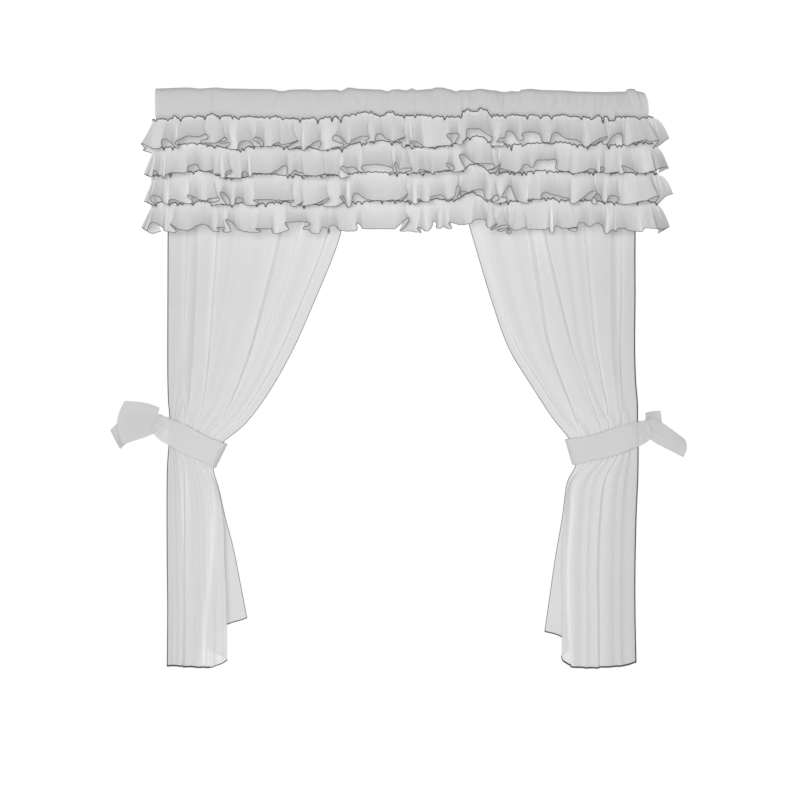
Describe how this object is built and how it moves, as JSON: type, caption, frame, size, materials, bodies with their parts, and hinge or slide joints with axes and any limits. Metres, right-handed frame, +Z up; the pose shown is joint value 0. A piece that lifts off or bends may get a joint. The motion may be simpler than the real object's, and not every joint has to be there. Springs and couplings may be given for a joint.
{
  "type": "sheer tie-back curtain panels with ruffled valance",
  "caption": "Sheer curtain set for one rod: a ruffled valance on a rod pocket, two side panels tied back, and their ties.",
  "frame": {"origin": "middle of the pocket's top edge, where the rod bears on the cloth", "axes": "+Z up, +X along the rod to the right as seen from the room, the room on the -Y side"},
  "size_m": [1.139, 0.0979, 1.1455],
  "materials": {
    "pocket_cloth": "white polyester voile, doubled at the rod pocket",
    "ruffle_cloth": "white polyester voile, gathered, its edges overlocked in dark grey thread",
    "sheer_cloth": "sheer white polyester voile, its edges overlocked in dark grey thread",
    "tie_cloth": "white polyester voile, doubled and stitched into a strip"
  },
  "bodies": {
    "root": {"rod_pocket": "pocket_cloth", "valance_backing": "pocket_cloth", "ruffle_1": "ruffle_cloth", "ruffle_2": "ruffle_cloth", "ruffle_3": "ruffle_cloth", "ruffle_4": "ruffle_cloth", "panel_left": "sheer_cloth", "panel_right": "sheer_cloth", "tie_left": "tie_cloth", "tie_right": "tie_cloth"}
  },
  "joints": []
}
